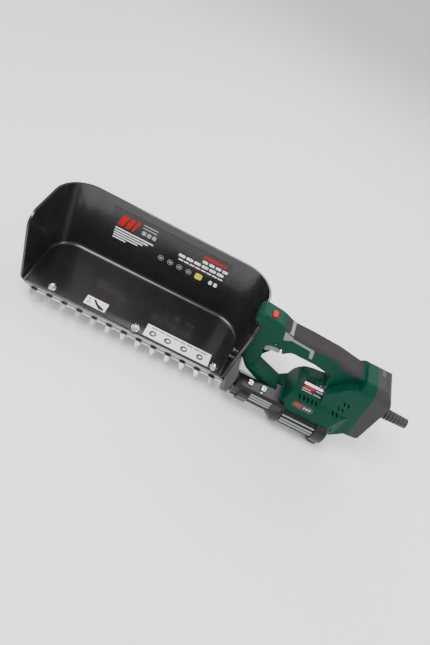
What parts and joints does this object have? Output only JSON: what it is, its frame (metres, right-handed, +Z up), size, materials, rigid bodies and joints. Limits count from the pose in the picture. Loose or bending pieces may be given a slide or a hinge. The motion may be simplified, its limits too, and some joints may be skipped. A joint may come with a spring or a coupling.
{
  "type": "hedge trimmer",
  "caption": "One-handed garden trimmer with a reciprocating toothed bar under a deep collecting tray and a closed D handle.",
  "frame": {"origin": "under the middle of the whole tool, level with the lowest foot of the drive unit", "axes": "+X along the cutting bar towards the cable end, -Y the way the teeth point, +Z up out of the tray"},
  "size_m": [0.5664, 0.1334, 0.1671],
  "materials": {
    "black_gloss": "glossy black moulding",
    "black_matte": "fine satin texture",
    "green": "dark green satin moulding",
    "grip_rubber": "soft touch, fine texture",
    "trim_grey": "light grey insert",
    "cap_grey": "dark grey moulding",
    "relief_rubber": "ribbed black rubber",
    "aluminium": "milled",
    "steel": "ground and hardened",
    "bright_steel": "bright plated",
    "dark_steel": "oiled steel",
    "brass": "sintered bronze",
    "red_plastic": "red button",
    "copper_laminate": "lamination and copper",
    "carbon": "carbon",
    "board": "laminate with lacquer",
    "label_dark": "printed foil",
    "label_white": "printed foil",
    "white_plastic": "moulded nylon"
  },
  "bodies": {
    "root": {"badge_plate": "label_dark", "bar_dowels": "steel", "bearings": "bright_steel", "blade_bolts": "bright_steel", "board_capacitor": "label_dark", "brush_ring": "white_plastic", "cable_clamp": "white_plastic", "cap_latch": "black_matte", "cap_screws": "dark_steel", "carbon_brushes": "carbon", "clamp_screws": "bright_steel", "collecting_tray": "black_gloss", "control_board": "board", "crank_bushes": "brass", "crop_divider": "black_gloss", "dome_nuts": "bright_steel", "front_collar": "black_matte", "front_ribs": "aluminium", "gear_case": "black_matte", "gear_case_cover": "black_matte", "gear_case_screws": "bright_steel", "grip_trim": "trim_grey", "handle_grip": "grip_rubber", "housing_far": "green", "housing_near": "green", "housing_screws": "dark_steel", "keeper_plate": "steel", "layshaft_bushes": "brass", "magnets": "dark_steel", "main_switch": "black_matte", "mid_collar": "black_matte", "motor_can": "dark_steel", "motor_ribs": "aluminium", "motor_tube": "black_matte", "rating_plate": "label_dark", "rear_cap": "cap_grey", "rear_collar": "black_matte", "strain_relief": "relief_rubber", "support_bar": "aluminium", "terminal_block": "white_plastic", "tray_bracket": "dark_steel", "tray_bracket_screws": "dark_steel", "tray_label": "label_dark", "tray_stickers": "label_white", "trigger_pin": "steel", "unit_screws": "bright_steel", "wear_strip": "black_matte"},
    "upper_blade_body": {"upper_blade": "steel"},
    "lower_blade_body": {"lower_blade": "steel"},
    "crank": {"crank_gear": "dark_steel"},
    "lay": {"layshaft": "dark_steel"},
    "rotor": {"rotor_shaft": "steel", "rotor_core": "copper_laminate", "commutator": "copper_laminate", "cooling_fan": "white_plastic"},
    "trigger_body": {"trigger": "trim_grey"},
    "plunger": {"switch_plunger": "white_plastic", "plunger_spring": "steel"},
    "button": {"lock_button": "red_plastic"}
  },
  "joints": [
    {"name": "upper_blade_slide", "type": "slide", "parent": "root", "child": "upper_blade_body", "axis": [1, 0, 0], "range_m": [-0.005, 0.005]},
    {"name": "lower_blade_slide", "type": "slide", "parent": "root", "child": "lower_blade_body", "axis": [1, 0, 0], "range_m": [-0.005, 0.005]},
    {"name": "rotor_spin", "type": "hinge", "parent": "root", "child": "rotor", "pos_m": [0.14617, -0.04217, 0.0305], "axis": [1, 0, 0], "continuous": true},
    {"name": "layshaft_spin", "type": "hinge", "parent": "root", "child": "lay", "pos_m": [0.10617, -0.04217, 0.04325], "axis": [1, 0, 0], "continuous": true},
    {"name": "crank_spin", "type": "hinge", "parent": "root", "child": "crank", "pos_m": [0.07417, -0.04217, 0.0385], "axis": [0, 0, 1], "continuous": true},
    {"name": "trigger_pivot", "type": "hinge", "parent": "root", "child": "trigger_body", "pos_m": [0.05667, -0.02217, 0.128], "axis": [0, -1, 0], "range_deg": [0, 8], "stiffness_Nm_per_rad": 0.35, "springref_deg": -11.46},
    {"name": "plunger_slide", "type": "slide", "parent": "root", "child": "plunger", "axis": [0, 0, 1], "range_m": [0, 0.0022], "deforming": ["plunger_spring"]},
    {"name": "lock_button_slide", "type": "slide", "parent": "root", "child": "button", "axis": [0, 0, -1], "range_m": [0, 0.0025], "stiffness_N_per_m": 600, "springref_m": -0.002}
  ],
  "couplings": [
    {"joint": "lower_blade_slide", "follows": "upper_blade_slide", "ratio": -1},
    {"joint": "layshaft_spin", "follows": "rotor_spin", "ratio": -0.38462},
    {"joint": "crank_spin", "follows": "rotor_spin", "ratio": -0.13736},
    {"joint": "plunger_slide", "follows": "trigger_pivot", "m_per_rad": 0.0145}
  ]
}
